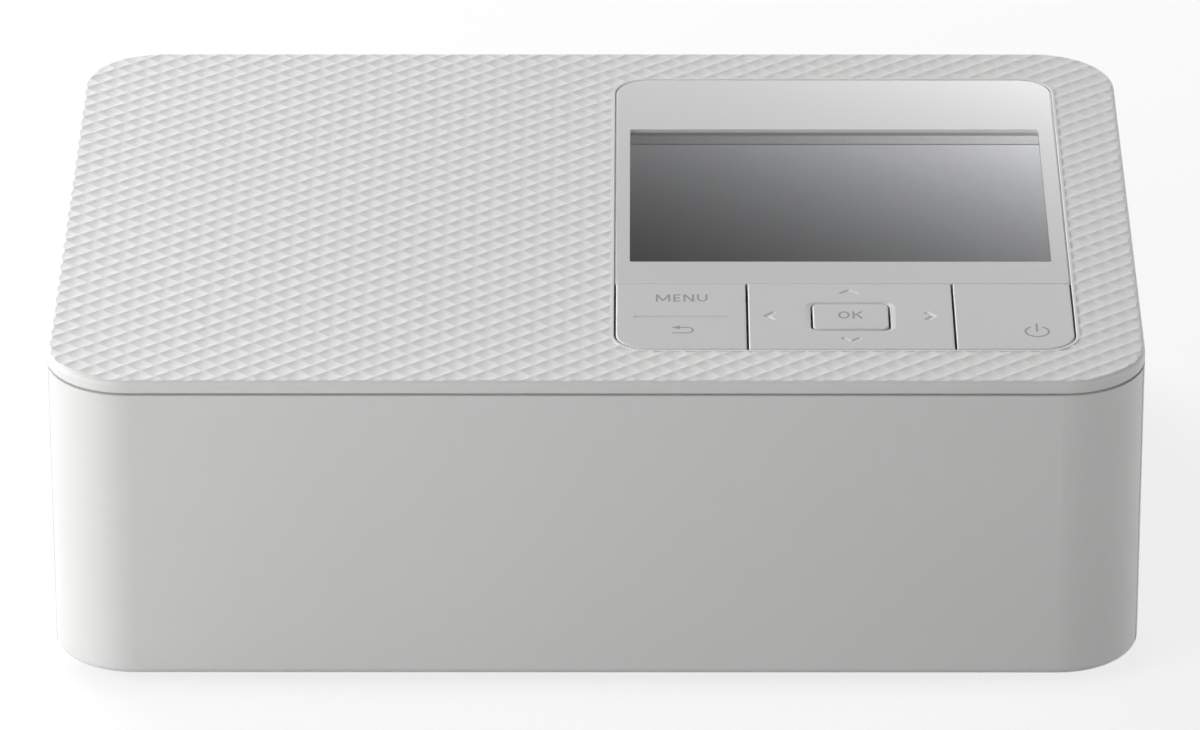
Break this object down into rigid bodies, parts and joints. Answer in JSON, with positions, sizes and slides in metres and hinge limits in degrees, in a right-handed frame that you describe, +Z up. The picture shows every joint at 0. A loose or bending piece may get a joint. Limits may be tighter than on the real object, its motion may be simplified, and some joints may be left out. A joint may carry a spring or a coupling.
{
  "type": "compact photo printer",
  "caption": "Compact photo printer with a relief top, flush display and keys, front paper door, side ribbon door, print head and roller drive.",
  "frame": {"origin": "under the middle of the footprint, on the surface the feet stand on", "axes": "+X to the right seen from the front (width), +Y to the rear, +Z up"},
  "size_m": [0.1822, 0.133, 0.0576],
  "materials": {
    "case_plastic": "fine matte moulded",
    "key_plastic": "satin",
    "inner_plastic": "matte",
    "window": "gloss",
    "display": "gloss",
    "board": "satin",
    "sheet_steel": "satin",
    "shaft_steel": "ground",
    "motor_steel": "zinc plated",
    "brass": "satin",
    "gear_plastic": "satin",
    "guide_plastic": "matte",
    "rubber": "matte",
    "heat_sink_metal": "extruded",
    "ceramic": "glazed",
    "lever_plastic": "satin",
    "cable_film": "satin"
  },
  "bodies": {
    "case": {"case_shell": "case_plastic", "base_tray": "inner_plastic", "feet": "rubber", "case_screws": "shaft_steel", "front_frame": "inner_plastic", "front_door_pins": "shaft_steel", "ink_door_pins": "shaft_steel", "top_cover": "case_plastic", "console_frame": "inner_plastic", "display_window": "window", "display_panel": "display", "key_board": "board", "main_board": "board", "card_reader": "sheet_steel", "usb_port": "sheet_steel", "dc_jack": "guide_plastic", "panel_cable": "cable_film", "left_side_plate": "sheet_steel", "right_side_plate": "sheet_steel", "paper_guide_lower": "guide_plastic", "paper_guide_upper": "guide_plastic", "ribbon_cradle": "inner_plastic", "head_shaft": "shaft_steel", "head_springs": "shaft_steel", "shaft_bushes": "brass", "feed_motor": "motor_steel", "ribbon_motor": "motor_steel", "head_motor": "motor_steel", "feed_belt": "rubber"},
    "front_cover": {"front_door": "case_plastic"},
    "ribbon_cover": {"ink_door": "case_plastic"},
    "menu_rocker": {"menu_key": "key_plastic"},
    "pad_tilt": {"pad_carrier": "inner_plastic"},
    "pad": {"direction_pad": "key_plastic"},
    "ok": {"ok_key": "key_plastic"},
    "power": {"power_key": "key_plastic"},
    "grip": {"grip_roller": "shaft_steel", "grip_gear": "gear_plastic"},
    "pinch": {"pinch_roller": "rubber"},
    "platen": {"platen_shaft": "shaft_steel", "platen_rubber": "rubber"},
    "pickup": {"pickup_shaft": "shaft_steel", "pickup_tyres": "rubber", "pickup_pulley": "gear_plastic"},
    "feed_drive": {"feed_pinion": "brass"},
    "idler": {"idler_gear": "gear_plastic"},
    "takeup": {"takeup_gear": "gear_plastic", "takeup_hub": "gear_plastic"},
    "ribbon_drive": {"ribbon_pinion": "brass"},
    "supply": {"supply_hub": "gear_plastic"},
    "cam": {"cam_shaft": "gear_plastic", "cam_gear": "gear_plastic"},
    "head_drive": {"head_pinion": "brass"},
    "print_head": {"thermal_head": "ceramic", "heat_sink": "heat_sink_metal", "head_bracket": "sheet_steel"},
    "paper_lift": {"lift_plate": "guide_plastic"},
    "ribbon_release": {"cassette_lever": "lever_plastic"}
  },
  "joints": [
    {"name": "front_door_hinge", "type": "hinge", "parent": "case", "child": "front_cover", "pos_m": [0, -0.061, 0.0064], "axis": [1, 0, 0], "range_deg": [0, 90]},
    {"name": "ink_door_hinge", "type": "hinge", "parent": "case", "child": "ribbon_cover", "pos_m": [0.089, 0.0305, 0.0305], "axis": [0, 0, 1], "range_deg": [0, 90]},
    {"name": "menu_key_rock", "type": "hinge", "parent": "case", "child": "menu_rocker", "pos_m": [0.014, -0.0418, 0.055], "axis": [1, 0, 0], "range_deg": [-1.3, 1.3], "stiffness_Nm_per_rad": 0.08},
    {"name": "pad_tilt_x", "type": "hinge", "parent": "case", "child": "pad_tilt", "pos_m": [0.0424, -0.0416, 0.0549], "axis": [1, 0, 0], "range_deg": [-1, 1], "stiffness_Nm_per_rad": 0.08},
    {"name": "pad_tilt_y", "type": "hinge", "parent": "pad_tilt", "child": "pad", "pos_m": [0.0424, -0.0416, 0.0549], "axis": [0, 1, 0], "range_deg": [-1, 1], "stiffness_Nm_per_rad": 0.08},
    {"name": "ok_press", "type": "slide", "parent": "case", "child": "ok", "axis": [0, 0, -1], "range_m": [0, 0.0005], "stiffness_N_per_m": 900, "springref_m": -0.0006},
    {"name": "power_press", "type": "slide", "parent": "case", "child": "power", "axis": [0, 0, -1], "range_m": [0, 0.0005], "stiffness_N_per_m": 900, "springref_m": -0.0006},
    {"name": "grip_spin", "type": "hinge", "parent": "case", "child": "grip", "pos_m": [0, 0.033, 0.0135], "axis": [1, 0, 0], "continuous": true},
    {"name": "pinch_spin", "type": "hinge", "parent": "case", "child": "pinch", "pos_m": [0, 0.033, 0.02125], "axis": [1, 0, 0], "continuous": true},
    {"name": "platen_spin", "type": "hinge", "parent": "case", "child": "platen", "pos_m": [0, -0.004, 0.011], "axis": [1, 0, 0], "continuous": true},
    {"name": "pickup_spin", "type": "hinge", "parent": "case", "child": "pickup", "pos_m": [0, -0.044, 0.027], "axis": [1, 0, 0], "continuous": true},
    {"name": "feed_motor_spin", "type": "hinge", "parent": "case", "child": "feed_drive", "pos_m": [0, 0.04946, 0.03779], "axis": [1, 0, 0], "continuous": true},
    {"name": "idler_spin", "type": "hinge", "parent": "case", "child": "idler", "pos_m": [0, 0.04946, 0.02339], "axis": [1, 0, 0], "continuous": true},
    {"name": "takeup_spin", "type": "hinge", "parent": "case", "child": "takeup", "pos_m": [0, 0.016, 0.034], "axis": [1, 0, 0], "continuous": true},
    {"name": "ribbon_motor_spin", "type": "hinge", "parent": "case", "child": "ribbon_drive", "pos_m": [0, 0.00118, 0.03635], "axis": [1, 0, 0], "continuous": true},
    {"name": "supply_spin", "type": "hinge", "parent": "case", "child": "supply", "pos_m": [0, -0.022, 0.034], "axis": [1, 0, 0], "continuous": true},
    {"name": "cam_turn", "type": "hinge", "parent": "case", "child": "cam", "pos_m": [0, 0.05, 0.036], "axis": [1, 0, 0], "range_deg": [0, 120]},
    {"name": "head_motor_spin", "type": "hinge", "parent": "case", "child": "head_drive", "pos_m": [0, 0.05, 0.024], "axis": [1, 0, 0], "range_deg": [-360, 0]},
    {"name": "head_swing", "type": "hinge", "parent": "case", "child": "print_head", "pos_m": [0, 0.038, 0.042], "axis": [1, 0, 0], "range_deg": [0, 6.3]},
    {"name": "paper_lift_hinge", "type": "hinge", "parent": "case", "child": "paper_lift", "pos_m": [0, -0.026, 0.0068], "axis": [-1, 0, 0], "range_deg": [0, 8]},
    {"name": "ribbon_lever_slide", "type": "slide", "parent": "case", "child": "ribbon_release", "axis": [0, 0, 1], "range_m": [0, 0.003], "stiffness_N_per_m": 60, "springref_m": -0.001}
  ],
  "couplings": [
    {"joint": "pinch_spin", "follows": "grip_spin", "ratio": -0.875},
    {"joint": "pickup_spin", "follows": "grip_spin", "ratio": 1},
    {"joint": "idler_spin", "follows": "grip_spin", "ratio": -0.77778},
    {"joint": "feed_motor_spin", "follows": "grip_spin", "ratio": 2.3333},
    {"joint": "ribbon_motor_spin", "follows": "takeup_spin", "ratio": -4},
    {"joint": "head_motor_spin", "follows": "cam_turn", "ratio": -3},
    {"joint": "head_swing", "follows": "cam_turn", "ratio": 0.0525}
  ]
}
